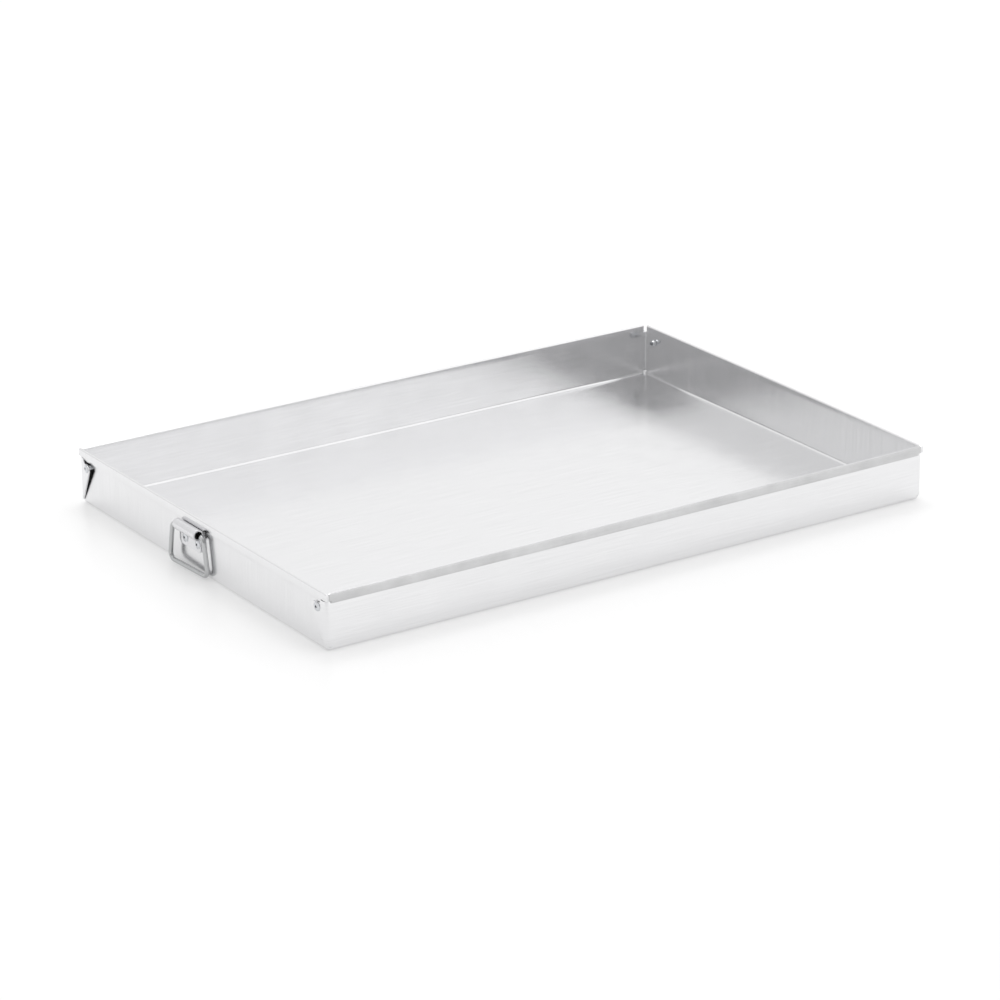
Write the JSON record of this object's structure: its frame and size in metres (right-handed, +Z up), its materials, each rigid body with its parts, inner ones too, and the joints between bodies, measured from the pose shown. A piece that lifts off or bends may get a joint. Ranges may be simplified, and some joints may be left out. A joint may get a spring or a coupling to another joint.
{
  "type": "paint roller tray",
  "caption": "Shallow rectangular tray folded from aluminium sheet, with a hemmed rim, riveted corner ears and a swinging wire drop handle on one end.",
  "frame": {"origin": "on the underside of the floor, at the middle of the pan's length and width without the handle", "axes": "+X along the tray away from the handle, +Y across the tray, +Z up out of the open top"},
  "size_m": [0.6105, 0.408, 0.049],
  "materials": {
    "pan_sheet": "satin mill finish with fine rolling lines",
    "strap_sheet": "satin",
    "rivet": "smooth, as set",
    "rivet_stem": "drawn wire",
    "bail_wire": "zinc plated wire"
  },
  "bodies": {
    "tray": {"pan": "pan_sheet", "corner_rivet_back_left": "rivet", "corner_rivet_back_right": "rivet", "corner_rivet_front_right": "rivet", "corner_rivet_front_left": "rivet", "corner_stem_back_left": "rivet_stem", "corner_stem_back_right": "rivet_stem", "corner_stem_front_right": "rivet_stem", "corner_stem_front_left": "rivet_stem", "handle_strap": "strap_sheet", "handle_rivet_back": "rivet", "handle_rivet_front": "rivet", "handle_stem_back": "rivet_stem", "handle_stem_front": "rivet_stem"},
    "bail": {"handle_bail": "bail_wire"}
  },
  "joints": [
    {"name": "bail_swing", "type": "hinge", "parent": "tray", "child": "bail", "pos_m": [-0.3036, 0.0088, 0.03631], "axis": [-0.05, 0.9987, 0], "range_deg": [-1.5, 178]}
  ]
}
